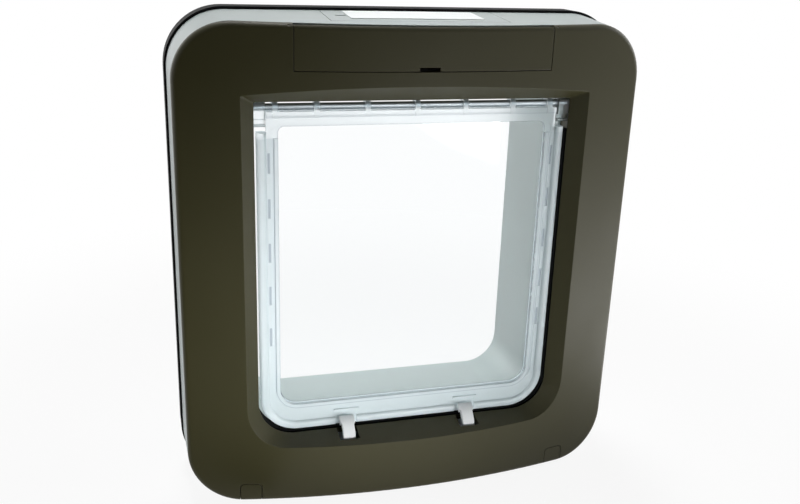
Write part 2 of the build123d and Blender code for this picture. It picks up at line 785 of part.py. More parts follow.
# Clear flap: pane, rim, band, ridge, hinge bar with its knuckles, and the keeper pockets
knuckle_places = [step * knuckle_pitch for step in (-2, -1, 0, 1, 2)]
knuckle_places += [knuckle_end_gap - bar_half, bar_half - knuckle_end_gap]
window_top = bar_bottom - band_height
pocket_width = latch_tip_width + 2 * keeper_gap
pocket_top = latch_shaft_height + latch_outside * sin(radians(latch_tip_angle))
pocket_top += keeper_top_gap
with BuildPart() as flap_panel:
    add(flap_rim.part)
    extrude(flap_outline(pane_front + pane_thickness), amount=pane_thickness)
    # Upper part of the pane, between the clips
    with BuildSketch(upright(pane_front + pane_thickness)):
        with Locations((0, shoulder)):
            Rectangle(2 * bar_half, bar_bottom - shoulder, align=(Align.CENTER, Align.MIN))
    extrude(amount=pane_thickness)
    # Raised flat band around the window
    window_half = flap_half - ridge_inset + band_step
    with BuildSketch(upright(pane_front)) as band:
        add(flap_outline(pane_front, rim_width / 2))
        with Locations((0, shoulder)):
            Rectangle(2 * bar_half, bar_bottom - shoulder, align=(Align.CENTER, Align.MIN))
        with BuildSketch(mode=Mode.SUBTRACT) as window:
            with Locations((0, window_top)):
                Rectangle(2 * window_half, window_top - flap_bottom - ridge_inset - ridge_lift,
                          align=(Align.CENTER, Align.MAX))
            fillet(window.vertices().group_by(Axis.Y)[-1], band_corner)
            fillet(window.vertices().group_by(Axis.Y)[0], flap_corner - ridge_inset)
    extrude(amount=band_proud)
    # Inner ridge on both sides and along the bottom
    ridge_top = shoulder - ridge_drop
    with BuildSketch(upright(pane_front)):
        add(flap_outline(pane_front, ridge_inset, ridge_top, ridge_lift))
        add(flap_outline(pane_front, ridge_inset + ridge_width, ridge_top, ridge_lift), mode=Mode.SUBTRACT)
    extrude(amount=ridge_height)
    # Short grooves along the side bands
    dash_place = flap_half - rim_width - dash_width
    dash_middle = shoulder - dash_start - (dash_count - 1) * dash_pitch / 2
    with BuildSketch(upright(pane_front - band_proud + dash_depth)):
        with Locations((0, dash_middle)):
            with GridLocations(2 * dash_place, dash_pitch, 2, dash_count):
                SlotOverall(dash_length, dash_width, rotation=90)
    extrude(amount=2 * dash_depth, mode=Mode.SUBTRACT)
    # Hinge bar and knuckles
    with Locations((0, front + hinge_depth, (bar_top + bar_bottom) / 2)):
        Box(2 * bar_half, bar_depth, bar_height)
    with Locations(*[(place, front + hinge_depth, hinge_height) for place in knuckle_places]):
        Cylinder(knuckle_radius, knuckle_width, rotation=(0, 90, 0))
        Box(knuckle_width, 2 * knuckle_radius, hinge_height - bar_bottom,
            align=(Align.CENTER, Align.CENTER, Align.MAX))
    with Locations((0, front + hinge_depth, hinge_height)):
        Cylinder(rod_radius + running_gap, opening_width, rotation=(0, 90, 0), mode=Mode.SUBTRACT)
    # Keeper pockets that the latch tongues stand in, each under a small lip
    for side in (-1, 1):
        with BuildSketch(upright(pane_front)):
            with Locations((side * latch_spread / 2, pocket_top)):
                Rectangle(pocket_width, pocket_top - flap_bottom + margin, align=(Align.CENTER, Align.MAX))
        extrude(amount=rim_depth, mode=Mode.SUBTRACT)
        with BuildSketch(upright(pane_front)):
            with Locations((side * latch_spread / 2, pocket_top)):
                Rectangle(pocket_width + 2 * keeper_lip, keeper_lip, align=(Align.CENTER, Align.MIN))
        extrude(amount=ridge_height)
flap_panel.part.label = "flap_panel"
export_step(flap_panel.part, "parts/flap_panel.step")


def ring_band(place, start, end):
    # Curved strip about the latch shaft, in the side view
    middle = (start + end) / 2
    with BuildSketch(Plane.YZ.offset(place)) as strip:
        with BuildLine():
            outer = [polar(latch_outside, angle) for angle in (start, middle, end)]
            inner = [polar(latch_inside, angle) for angle in (end, middle, start)]
            ThreePointArc(*outer)
            Line(outer[-1], inner[0])
            ThreePointArc(*inner)
            Line(inner[-1], outer[0])
        make_face()
    return strip.sketch


# Latches: curved tongues on arms that turn with the shaft
shaft_point = (front + latch_shaft_depth, latch_shaft_height)
for side, name in ((-1, "latch_left"), (1, "latch_right")):
    place = side * latch_spread / 2
    with BuildPart() as latch:
        extrude(ring_band(place, latch_tip_angle, latch_tail_angle), amount=latch_width / 2, both=True)
        with BuildSketch(Plane.YZ.offset(place)):
            with Locations(Location((*shaft_point, 0), (0, 0, latch_tail_angle))):
                Rectangle(latch_radius, latch_arm, align=(Align.MIN, Align.CENTER))
        extrude(amount=latch_width / 2, both=True)
        tip = ring_band(place, latch_tip_angle, latch_tip_angle + latch_tip_length)
        extrude(tip, amount=latch_tip_width / 2, both=True)
        with BuildSketch(Plane.YZ.offset(place)):
            with Locations(shaft_point):
                Circle(latch_hub_radius)
        extrude(amount=latch_hub_width / 2, both=True)
        with BuildSketch(Plane.YZ.offset(place)):
            with Locations(shaft_point):
                Circle(shaft_radius + running_gap)
        extrude(amount=latch_hub_width, both=True, mode=Mode.SUBTRACT)
    latch.part.label = name
    export_step(latch.part, f"parts/{name}.step")

# Latch shaft
shaft_left = -bearing_place - bracket_upright
shaft_right = gear_place + gear_width / 2
with BuildPart() as latch_shaft:
    with BuildSketch(Plane.YZ.offset(shaft_left)):
        with Locations(shaft_point):
            Circle(shaft_radius)
    extrude(amount=shaft_right - shaft_left)
latch_shaft.part.label = "latch_shaft"
export_step(latch_shaft.part, "parts/latch_shaft.step")


def tooth():
    # One straight sided tooth, with its middle on the pitch circle
    half = tooth_share * pi * gear_module / 2
    root = -dedendum - gear_module
    Polygon((root, -tooth_foot * half), (0, -half), (addendum, -tooth_crest * half),
            (addendum, tooth_crest * half), (0, half), (root, tooth_foot * half), align=None)


# Sector gear on the shaft
sector_pitch = gear_module * sector_teeth / 2
sector_step = 360 / sector_teeth
sector_start = pinion_angle - latch_travel - sector_spare
sector_end = pinion_angle + sector_spare
first_tooth = pinion_angle + sector_step / 2
back_teeth = int((first_tooth - sector_start) / sector_step)
tooth_angles = [first_tooth - step * sector_step for step in range(back_teeth + 1)]
with BuildPart() as sector_gear:
    with BuildSketch(Plane.YZ.offset(gear_place - gear_width / 2)):
        with BuildLine():
            rim_radius = sector_pitch - dedendum
            middle_angle = (sector_start + sector_end) / 2
            Line(shaft_point, polar(rim_radius, sector_start))
            ThreePointArc(polar(rim_radius, sector_start), polar(rim_radius, middle_angle),
                          polar(rim_radius, sector_end))
            Line(polar(rim_radius, sector_end), shaft_point)
        make_face()
        with Locations(shaft_point):
            Circle(gear_hub_radius)
            for angle in tooth_angles:
                with PolarLocations(sector_pitch, 1, start_angle=angle):
                    tooth()
        with Locations(shaft_point):
            Circle(shaft_radius + running_gap, mode=Mode.SUBTRACT)
    extrude(amount=gear_width)
sector_gear.part.label = "sector_gear"
export_step(sector_gear.part, "parts/sector_gear.step")

# Pinion with the motor's shaft
pinion_point = (front + pinion_depth, pinion_height)
motor_face = motor_plate + bracket_wall
with BuildPart() as motor_pinion:
    with BuildSketch(Plane.YZ.offset(gear_place - gear_width / 2)):
        with Locations(pinion_point):
            Circle(pinion_pitch - dedendum)
            with PolarLocations(pinion_pitch, pinion_teeth, start_angle=pinion_angle + 180):
                tooth()
    extrude(amount=gear_width)
    with BuildSketch(Plane.YZ.offset(gear_place)):
        with Locations(pinion_point):
            Circle(motor_shaft_radius)
    extrude(amount=motor_face + motor_bite - gear_place)
motor_pinion.part.label = "motor_pinion"
export_step(motor_pinion.part, "parts/motor_pinion.step")

# Motor, flat on two sides
with BuildPart() as latch_motor:
    with BuildSketch(Plane.YZ.offset(motor_face)):
        with Locations(pinion_point):
            Circle(motor_radius)
            Rectangle(2 * motor_flat, 2 * motor_radius, mode=Mode.INTERSECT)
    extrude(amount=motor_length)
    with BuildSketch(Plane.YZ.offset(motor_face)):
        with Locations(pinion_point):
            Circle(motor_shaft_radius + running_gap)
    extrude(amount=motor_bite + seam_gap, mode=Mode.SUBTRACT)
latch_motor.part.label = "latch_motor"
export_step(latch_motor.part, "parts/latch_motor.step")

# Bracket that carries the shaft and the motor, on the bottom wall
bracket_left = -bearing_place - bracket_upright / 2
with BuildPart() as mechanism_bracket:
    with Locations(((bracket_left + motor_face) / 2, front + latch_shaft_depth - bracket_front, shell_wall)):
        Box(motor_face - bracket_left, bracket_front + bracket_rear, bracket_wall,
            align=(Align.CENTER, Align.MIN, Align.MIN))
    for place in (-bearing_place, bearing_place):
        with BuildSketch(Plane.YZ.offset(place)):
            with Locations((shaft_point[0], shell_wall)):
                Rectangle(2 * bracket_half_width, latch_shaft_height - shell_wall,
                          align=(Align.CENTER, Align.MIN))
            with Locations(shaft_point):
                Circle(bracket_half_width)
                Circle(shaft_radius + running_gap, mode=Mode.SUBTRACT)
        extrude(amount=bracket_upright / 2, both=True)
    with BuildSketch(Plane.YZ.offset(motor_plate)):
        with Locations((pinion_point[0], shell_wall)):
            Rectangle(2 * motor_radius, pinion_height - shell_wall, align=(Align.CENTER, Align.MIN))
        with Locations(pinion_point):
            Circle(motor_radius)
            Circle(2 * motor_shaft_radius, mode=Mode.SUBTRACT)
    extrude(amount=bracket_wall)
mechanism_bracket.part.label = "mechanism_bracket"
export_step(mechanism_bracket.part, "parts/mechanism_bracket.step")
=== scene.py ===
import math
import bpy
import bmesh
from mathutils import Matrix, Vector


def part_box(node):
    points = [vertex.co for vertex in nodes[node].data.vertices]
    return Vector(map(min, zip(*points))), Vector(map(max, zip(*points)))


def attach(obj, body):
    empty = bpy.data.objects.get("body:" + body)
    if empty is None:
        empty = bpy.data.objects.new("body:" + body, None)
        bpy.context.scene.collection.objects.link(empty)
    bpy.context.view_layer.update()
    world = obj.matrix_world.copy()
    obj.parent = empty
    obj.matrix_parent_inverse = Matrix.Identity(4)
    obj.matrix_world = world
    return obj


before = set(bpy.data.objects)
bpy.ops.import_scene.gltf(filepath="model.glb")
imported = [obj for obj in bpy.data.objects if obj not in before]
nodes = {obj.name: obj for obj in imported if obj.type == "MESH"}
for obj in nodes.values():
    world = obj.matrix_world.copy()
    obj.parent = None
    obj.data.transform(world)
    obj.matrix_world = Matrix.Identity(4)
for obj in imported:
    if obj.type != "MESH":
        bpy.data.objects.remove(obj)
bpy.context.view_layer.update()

print("frame loaded:", len(nodes), "nodes")

scene = bpy.context.scene
scene.view_settings.view_transform = "Standard"

# Shared effects, each one a shader node group


def startGroup(name, inputs, outputs):
    group = bpy.data.node_groups.new(name, "ShaderNodeTree")
    for label, kind, value in inputs:
        socket = group.interface.new_socket(label, in_out="INPUT", socket_type=kind)
        if value is not None:
            socket.default_value = value
    for label, kind in outputs:
        group.interface.new_socket(label, in_out="OUTPUT", socket_type=kind)
    entry = group.nodes.new("NodeGroupInput")
    leave = group.nodes.new("NodeGroupOutput")
    return group, entry, leave


def addNode(tree, kind, **settings):
    node = tree.nodes.new(kind)
    for key, value in settings.items():
        setattr(node, key, value)
    return node


def mathNode(tree, operation, first, second=None, clamp=False):
    node = addNode(tree, "ShaderNodeMath", operation=operation, use_clamp=clamp)
    for index, value in enumerate((first, second)):
        if value is None:
            continue
        if isinstance(value, (int, float)):
            node.inputs[index].default_value = value
        else:
            tree.links.new(value, node.inputs[index])
    return node.outputs[0]


def makeMouldGrain():
    # spark-eroded mould skin: fine grain over a softer pebble
    group, entry, leave = startGroup(
        "mouldGrain",
        [("Vector", "NodeSocketVector", None), ("Grain Scale", "NodeSocketFloat", 2400.0),
         ("Pebble Scale", "NodeSocketFloat", 900.0), ("Pebble Share", "NodeSocketFloat", 0.4)],
        [("Height", "NodeSocketFloat")],
    )
    grain = addNode(group, "ShaderNodeTexNoise")
    grain.inputs["Detail"].default_value = 3.0
    grain.inputs["Roughness"].default_value = 0.6
    pebble = addNode(group, "ShaderNodeTexVoronoi", feature="SMOOTH_F1")
    pebble.inputs["Smoothness"].default_value = 0.6
    group.links.new(entry.outputs["Vector"], grain.inputs["Vector"])
    group.links.new(entry.outputs["Vector"], pebble.inputs["Vector"])
    group.links.new(entry.outputs["Grain Scale"], grain.inputs["Scale"])
    group.links.new(entry.outputs["Pebble Scale"], pebble.inputs["Scale"])
    raised = mathNode(group, "MULTIPLY", pebble.outputs["Distance"], entry.outputs["Pebble Share"])
    total = mathNode(group, "ADD", grain.outputs["Fac"], raised)
    group.links.new(total, leave.inputs["Height"])
    return group


handlingPlan = {
    "patchDetail": 4.0, "patchTwist": 0.8, "patchShare": 0.9,
    "scuffStretch": (40.0, 420.0, 60.0), "scuffTurn": (0.3, 0.9, 0.5), "scuffScale": 6.0, "scuffDetail": 2.0,
    "scuffShare": 0.25, "fadeFrom": 0.35, "fadeTo": 0.8,
}


def makeHandling(plan):
    # broad patches where hands and cloths have polished the surface, with a few fine scuffs
    group, entry, leave = startGroup(
        "handling",
        [("Vector", "NodeSocketVector", None), ("Patch Scale", "NodeSocketFloat", 22.0),
         ("Low", "NodeSocketFloat", 0.3), ("High", "NodeSocketFloat", 0.45)],
        [("Roughness", "NodeSocketFloat")],
    )
    patch = addNode(group, "ShaderNodeTexNoise")
    patch.inputs["Detail"].default_value = plan["patchDetail"]
    patch.inputs["Distortion"].default_value = plan["patchTwist"]
    stretch = addNode(group, "ShaderNodeMapping")
    stretch.inputs["Scale"].default_value = plan["scuffStretch"]
    stretch.inputs["Rotation"].default_value = plan["scuffTurn"]
    scuff = addNode(group, "ShaderNodeTexNoise")
    scuff.inputs["Scale"].default_value = plan["scuffScale"]
    scuff.inputs["Detail"].default_value = plan["scuffDetail"]
    group.links.new(entry.outputs["Vector"], patch.inputs["Vector"])
    group.links.new(entry.outputs["Vector"], stretch.inputs["Vector"])
    group.links.new(stretch.outputs["Vector"], scuff.inputs["Vector"])
    group.links.new(entry.outputs["Patch Scale"], patch.inputs["Scale"])
    broad = mathNode(group, "MULTIPLY", patch.outputs["Fac"], plan["patchShare"])
    fine = mathNode(group, "MULTIPLY", scuff.outputs["Fac"], plan["scuffShare"])
    spread = addNode(group, "ShaderNodeMapRange")
    spread.inputs["From Min"].default_value = plan["fadeFrom"]
    spread.inputs["From Max"].default_value = plan["fadeTo"]
    group.links.new(mathNode(group, "ADD", broad, fine), spread.inputs["Value"])
    group.links.new(entry.outputs["Low"], spread.inputs["To Min"])
    group.links.new(entry.outputs["High"], spread.inputs["To Max"])
    group.links.new(spread.outputs["Result"], leave.inputs["Roughness"])
    return group


def makeTintDrift():
    # slow drift between two near colours, as moulded pigment has
    group, entry, leave = startGroup(
        "tintDrift",
        [("Vector", "NodeSocketVector", None), ("Scale", "NodeSocketFloat", 14.0),
         ("First", "NodeSocketColor", (0.5, 0.5, 0.5, 1.0)),
         ("Second", "NodeSocketColor", (0.6, 0.6, 0.6, 1.0))],
        [("Color", "NodeSocketColor")],
    )
    drift = addNode(group, "ShaderNodeTexNoise")
    drift.inputs["Detail"].default_value = 5.0
    blend = addNode(group, "ShaderNodeMix", data_type="RGBA")
    group.links.new(entry.outputs["Vector"], drift.inputs["Vector"])
    group.links.new(entry.outputs["Scale"], drift.inputs["Scale"])
    group.links.new(drift.outputs["Fac"], blend.inputs["Factor"])
    group.links.new(entry.outputs["First"], blend.inputs["A"])
    group.links.new(entry.outputs["Second"], blend.inputs["B"])
    group.links.new(blend.outputs["Result"], leave.inputs["Color"])
    return group


mouldGrain = makeMouldGrain()
handling = makeHandling(handlingPlan)
tintDrift = makeTintDrift()
print("shader groups ready")


def startMaterial(name):
    material = bpy.data.materials.new(name)
    material.use_nodes = True
    tree = material.node_tree
    skin = tree.nodes["Principled BSDF"]
    place = addNode(tree, "ShaderNodeTexCoord")
    return material, tree, skin, place.outputs["Object"]


def useGroup(tree, group, vector, **values):
    node = addNode(tree, "ShaderNodeGroup", node_tree=group)
    tree.links.new(vector, node.inputs["Vector"])
    for key, value in values.items():
        node.inputs[key].default_value = value
    return node


def driftColour(tree, vector, look):
    node = useGroup(tree, tintDrift, vector, Scale=look["driftScale"], First=(*look["first"], 1.0),
                    Second=(*look["second"], 1.0))
    return node.outputs["Color"]


def touchRoughness(tree, vector, low, high, patchScale=22.0):
    node = useGroup(tree, handling, vector, Low=low, High=high)
    node.inputs["Patch Scale"].default_value = patchScale
    return node.outputs["Roughness"]


def stretchedNoise(tree, vector, stretch, detail):
    # noise drawn out along one axis, for drawn lines and fibres
    place = addNode(tree, "ShaderNodeMapping")
    place.inputs["Scale"].default_value = stretch
    tree.links.new(vector, place.inputs["Vector"])
    noise = addNode(tree, "ShaderNodeTexNoise")
    noise.inputs["Scale"].default_value = 1.0
    noise.inputs["Detail"].default_value = detail
    tree.links.new(place.outputs["Vector"], noise.inputs["Vector"])
    return noise.outputs["Fac"]


def linkRoughness(tree, skin, value, look):
    rough = addNode(tree, "ShaderNodeMapRange")
    rough.inputs["To Min"].default_value = look["roughLow"]
    rough.inputs["To Max"].default_value = look["roughHigh"]
    tree.links.new(value, rough.inputs["Value"])
    tree.links.new(rough.outputs["Result"], skin.inputs["Roughness"])


def addBump(tree, skin, height, strength, distance, edge=0.0):
    # surface relief, over edges that are rounded by a small radius
    bump = addNode(tree, "ShaderNodeBump")
    bump.inputs["Strength"].default_value = strength
    bump.inputs["Distance"].default_value = distance
    tree.links.new(height, bump.inputs["Height"])
    if edge > 0.0:
        soft = addNode(tree, "ShaderNodeBevel", samples=6)
        soft.inputs["Radius"].default_value = edge
        tree.links.new(soft.outputs["Normal"], bump.inputs["Normal"])
    tree.links.new(bump.outputs["Normal"], skin.inputs["Normal"])


mouldDepth = 0.0002  # relief of the mould grain at full bump


def mouldedPlastic(name, look):
    material, tree, skin, vector = startMaterial(name)
    tree.links.new(driftColour(tree, vector, look), skin.inputs["Base Color"])
    touch = touchRoughness(tree, vector, look["roughLow"], look["roughHigh"], look["patchScale"])
    tree.links.new(touch, skin.inputs["Roughness"])
    grain = useGroup(tree, mouldGrain, vector)
    grain.inputs["Grain Scale"].default_value = look["grainScale"]
    grain.inputs["Pebble Scale"].default_value = look["pebbleScale"]
    grain.inputs["Pebble Share"].default_value = look["pebbleShare"]
    addBump(tree, skin, grain.outputs["Height"], look["bump"], mouldDepth, look["edge"])
    skin.inputs["Specular IOR Level"].default_value = look["specular"]
    return material


fasciaLook = {
    "first": (0.033, 0.0305, 0.0115), "second": (0.042, 0.039, 0.0155), "driftScale": 12.0,
    "roughLow": 0.42, "roughHigh": 0.54, "patchScale": 20.0,
    "grainScale": 2600.0, "pebbleScale": 1100.0, "pebbleShare": 0.3, "bump": 0.10, "specular": 0.25,
    "edge": 0.0004,
}
shellLook = {
    "first": (0.39, 0.44, 0.435), "second": (0.44, 0.49, 0.485), "driftScale": 9.0,
    "roughLow": 0.36, "roughHigh": 0.5, "patchScale": 16.0,
    "grainScale": 2200.0, "pebbleScale": 900.0, "pebbleShare": 0.4, "bump": 0.10, "specular": 0.45,
    "edge": 0.0004,
}
tunnelLook = {
    "first": (0.37, 0.44, 0.44), "second": (0.43, 0.50, 0.49), "driftScale": 8.0,
    "roughLow": 0.26, "roughHigh": 0.4, "patchScale": 14.0,
    "grainScale": 1800.0, "pebbleScale": 700.0, "pebbleShare": 0.3, "bump": 0.06, "specular": 0.5,
    "edge": 0.0005,
}
outerLook = {
    "first": (0.009, 0.009, 0.0095), "second": (0.014, 0.014, 0.0145), "driftScale": 15.0,
    "roughLow": 0.58, "roughHigh": 0.72, "patchScale": 20.0,
    "grainScale": 1700.0, "pebbleScale": 620.0, "pebbleShare": 0.8, "bump": 0.25, "specular": 0.07,
    "edge": 0.0005,
}
latchLook = {
    "first": (0.84, 0.87, 0.88), "second": (0.88, 0.91, 0.92), "driftScale": 60.0,
    "roughLow": 0.28, "roughHigh": 0.4, "patchScale": 60.0,
    "grainScale": 2600.0, "pebbleScale": 1200.0, "pebbleShare": 0.2, "bump": 0.06, "specular": 0.5,
    "edge": 0.0003,
}
innerLook = {
    "first": (0.035, 0.036, 0.038), "second": (0.05, 0.051, 0.053), "driftScale": 25.0,
    "roughLow": 0.45, "roughHigh": 0.6, "patchScale": 30.0,
    "grainScale": 2000.0, "pebbleScale": 800.0, "pebbleShare": 0.4, "bump": 0.12, "specular": 0.4,
    "edge": 0.0002,
}
buttonLook = {
    "first": (0.30, 0.32, 0.33), "second": (0.36, 0.38, 0.39), "driftScale": 90.0,
    "roughLow": 0.3, "roughHigh": 0.42, "patchScale": 80.0,
    "grainScale": 2600.0, "pebbleScale": 1200.0, "pebbleShare": 0.2, "bump": 0.06, "specular": 0.5,
    "edge": 0.0003,
}
fasciaBrown = mouldedPlastic("fasciaBrown", fasciaLook)
shellGrey = mouldedPlastic("shellGrey", shellLook)
tunnelGrey = mouldedPlastic("tunnelGrey", tunnelLook)
outerBlack = mouldedPlastic("outerBlack", outerLook)
latchWhite = mouldedPlastic("latchWhite", latchLook)
innerDark = mouldedPlastic("innerDark", innerLook)
buttonGrey = mouldedPlastic("buttonGrey", buttonLook)


def stepMask(tree, value, edge, soft):
    # rises from 0 to 1 about an edge
    spread = addNode(tree, "ShaderNodeMapRange")
    spread.inputs["From Min"].default_value = edge - soft
    spread.inputs["From Max"].default_value = edge + soft
    tree.links.new(value, spread.inputs["Value"])
    return spread.outputs["Result"]


def mixColours(tree, factor, first, second):
    blend = addNode(tree, "ShaderNodeMix", data_type="RGBA")
    tree.links.new(factor, blend.inputs["Factor"])
    for key, value in (("A", first), ("B", second)):
        if isinstance(value, tuple):
            blend.inputs[key].default_value = (*value, 1.0)
        else:
            tree.links.new(value, blend.inputs[key])
    return blend.outputs["Result"]


flowDepth = 0.0004  # relief of the flow marks at full bump
clearShadow = (0.93, 0.96, 0.97)  # share of light that passes one clear surface


def startClear(name, look):
    material, tree, skin, vector = startMaterial(name)
    skin.inputs["Transmission Weight"].default_value = 1.0
    skin.inputs["IOR"].default_value = look["ior"]
    flow = addNode(tree, "ShaderNodeTexNoise")
    flow.inputs["Scale"].default_value = look["flowScale"]
    flow.inputs["Detail"].default_value = 2.0
    tree.links.new(vector, flow.inputs["Vector"])
    addBump(tree, skin, flow.outputs["Fac"], look["flowBump"], flowDepth)
    ray = addNode(tree, "ShaderNodeLightPath")
    through = addNode(tree, "ShaderNodeBsdfTransparent")
    through.inputs["Color"].default_value = (*clearShadow, 1.0)
    pick = addNode(tree, "ShaderNodeMixShader")
    tree.links.new(ray.outputs["Is Shadow Ray"], pick.inputs["Fac"])
    tree.links.new(skin.outputs["BSDF"], pick.inputs[1])
    tree.links.new(through.outputs["BSDF"], pick.inputs[2])
    tree.links.new(pick.outputs["Shader"], tree.nodes["Material Output"].inputs["Surface"])
    return material, tree, skin, vector


flapLook = {
    "tint": (0.97, 0.985, 0.99), "roughLow": 0.01, "roughHigh": 0.04, "patchScale": 18.0, "ior": 1.47,
    "flowScale": 60.0, "flowBump": 0.02,
    "frostTint": (0.90, 0.945, 0.965), "frostLow": 0.29, "frostHigh": 0.39,
    "milk": (0.68, 0.75, 0.77), "milkShare": 0.5, "headMilk": 0.12, "milkClear": 0.2,
    "sideBorder": 0.0092, "footBorder": 0.0133, "headBorder": 0.0111, "borderSoft": 0.0002,
    "footCorner": 0.0084, "headCorner": 0.003,
    "edgeShadeTone": (0.30, 0.34, 0.40), "edgeShadeShare": 0.75, "edgeHalf": 0.0003,
    "ridgeWidth": 0.0018, "ridgeTop": 0.1723, "barFoot": 0.1813, "barHalf": 0.0667,
    "grooveShadeShare": 0.7, "grooveSide": 0.0658, "grooveHalf": 0.0005, "grooveReach": 0.0045,
    "grooveFirst": 0.0799, "groovePitch": 0.0204, "grooveSteps": 4,
}


def turnOver(tree, value):
    return mathNode(tree, "SUBTRACT", 1.0, value)


def windowDistance(tree, side, height, look, low, high):
    # how far a point lies outside the window, whose lower corners are rounder than its upper ones
    foot = low.z + look["footBorder"]
    head = high.z - look["headBorder"]
    rise = mathNode(tree, "SUBTRACT", height, (foot + head) / 2)
    upper = stepMask(tree, rise, 0.0, look["borderSoft"])
    change = mathNode(tree, "MULTIPLY", upper, look["headCorner"] - look["footCorner"])
    corner = mathNode(tree, "ADD", change, look["footCorner"])
    half = high.x - look["sideBorder"]
    past = mathNode(tree, "ADD", mathNode(tree, "SUBTRACT", side, half), corner)
    reach = mathNode(tree, "SUBTRACT", mathNode(tree, "ABSOLUTE", rise), (head - foot) / 2)
    over = mathNode(tree, "ADD", reach, corner)
    pastSquare = mathNode(tree, "POWER", mathNode(tree, "MAXIMUM", past, 0.0), 2.0)
    overSquare = mathNode(tree, "POWER", mathNode(tree, "MAXIMUM", over, 0.0), 2.0)
    away = mathNode(tree, "SQRT", mathNode(tree, "ADD", pastSquare, overSquare))
    within = mathNode(tree, "MINIMUM", mathNode(tree, "MAXIMUM", past, over), 0.0)
    return mathNode(tree, "SUBTRACT", mathNode(tree, "ADD", away, within), corner)


def lineMask(tree, value, place, half):
    # a soft line where the value passes the place
    gap = mathNode(tree, "ABSOLUTE", mathNode(tree, "SUBTRACT", value, place))
    return mathNode(tree, "SUBTRACT", 1.0, mathNode(tree, "DIVIDE", gap, half), clamp=True)


def grooveMask(tree, side, height, look):
    # the row of short grooves moulded into each side band
    soft = look["borderSoft"] / 2
    pitch = look["groovePitch"]
    aside = mathNode(tree, "ABSOLUTE", mathNode(tree, "SUBTRACT", side, look["grooveSide"]))
    across = turnOver(tree, stepMask(tree, aside, look["grooveHalf"], soft))
    count = mathNode(tree, "DIVIDE", mathNode(tree, "SUBTRACT", height, look["grooveFirst"]), pitch)
    nearest = mathNode(tree, "ROUND", count)
    kept = mathNode(tree, "MINIMUM", mathNode(tree, "MAXIMUM", nearest, 0.0), look["grooveSteps"])
    off = mathNode(tree, "ABSOLUTE", mathNode(tree, "SUBTRACT", count, kept))
    along = turnOver(tree, stepMask(tree, off, look["grooveReach"] / pitch, soft / pitch))
    return mathNode(tree, "MULTIPLY", across, along)


def makeFlapClear(look):
    # clear window inside a finely frosted border, with painted shade along its moulded edges and in its
    # grooves
    low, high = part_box("flap_panel")
    material, tree, skin, vector = startClear("flapClear", look)
    split = addNode(tree, "ShaderNodeSeparateXYZ")
    tree.links.new(vector, split.inputs["Vector"])
    side = mathNode(tree, "ABSOLUTE", split.outputs["X"])
    height = split.outputs["Z"]
    distance = windowDistance(tree, side, height, look, low, high)
    border = stepMask(tree, distance, 0.0, look["borderSoft"])
    inner = lineMask(tree, distance, 0.0, look["edgeHalf"])
    belowTop = turnOver(tree, stepMask(tree, height, look["ridgeTop"], look["borderSoft"]))
    ridge = lineMask(tree, distance, look["ridgeWidth"], look["edgeHalf"])
    outer = mathNode(tree, "MULTIPLY", ridge, belowTop)
    onBar = turnOver(tree, stepMask(tree, side, look["barHalf"], look["borderSoft"]))
    bar = mathNode(tree, "MULTIPLY", lineMask(tree, height, look["barFoot"], look["edgeHalf"]), onBar)
    edges = mathNode(tree, "MAXIMUM", mathNode(tree, "MAXIMUM", inner, outer), bar)
    grooves = mathNode(tree, "MULTIPLY", grooveMask(tree, side, height, look), look["grooveShadeShare"])
    # painted shade: the lines along the window edge, ridge and bar, and the grooves, are darkened in the
    # colour
    marks = mathNode(tree, "MAXIMUM", mathNode(tree, "MULTIPLY", edges, look["edgeShadeShare"]), grooves)
    ground = mixColours(tree, border, look["tint"], look["frostTint"])
    tree.links.new(mixColours(tree, marks, ground, look["edgeShadeTone"]), skin.inputs["Base Color"])
    touch = touchRoughness(tree, vector, look["roughLow"], look["roughHigh"], look["patchScale"])
    frost = touchRoughness(tree, vector, look["frostLow"], look["frostHigh"])
    blend = addNode(tree, "ShaderNodeMix", data_type="FLOAT")
    tree.links.new(border, blend.inputs["Factor"])
    tree.links.new(touch, blend.inputs["A"])
    tree.links.new(frost, blend.inputs["B"])
    tree.links.new(blend.outputs["Result"], skin.inputs["Roughness"])
    # the border also scatters light back, so it has a milky plastic mixed in, which carries the same painted
    # shade on edges and grooves
    milk = addNode(tree, "ShaderNodeBsdfPrincipled")
    tree.links.new(mixColours(tree, marks, look["milk"], look["edgeShadeTone"]), milk.inputs["Base Color"])
    milk.inputs["IOR"].default_value = look["ior"]
    milk.inputs["Transmission Weight"].default_value = look["milkClear"]
    tree.links.new(frost, milk.inputs["Roughness"])
    tree.links.new(skin.inputs["Normal"].links[0].from_socket, milk.inputs["Normal"])
    cloud = addNode(tree, "ShaderNodeMixShader")
    fuller = mathNode(tree, "MULTIPLY", belowTop, look["milkShare"] - look["headMilk"])
    share = mathNode(tree, "ADD", fuller, look["headMilk"])
    tree.links.new(mathNode(tree, "MULTIPLY", border, share), cloud.inputs["Fac"])
    tree.links.new(skin.outputs["BSDF"], cloud.inputs[1])
    tree.links.new(milk.outputs["BSDF"], cloud.inputs[2])
    last = tree.nodes["Material Output"].inputs["Surface"].links[0].from_node
    tree.links.new(cloud.outputs["Shader"], last.inputs[1])
    return material


clipLook = {
    "tint": (0.92, 0.96, 0.975), "ior": 1.49, "roughLow": 0.29, "roughHigh": 0.36, "patchScale": 60.0,
    "flowScale": 120.0, "flowBump": 0.05,
}


def makeClipClear(look):
    material, tree, skin, vector = startClear("clipClear", look)
    skin.inputs["Base Color"].default_value = (*look["tint"], 1.0)
    touch = touchRoughness(tree, vector, look["roughLow"], look["roughHigh"], look["patchScale"])
    tree.links.new(touch, skin.inputs["Roughness"])
    return material


flapClear = makeFlapClear(flapLook)
clipClear = makeClipClear(clipLook)


drawnDepth = 0.0001  # relief of the drawn lines at full bump


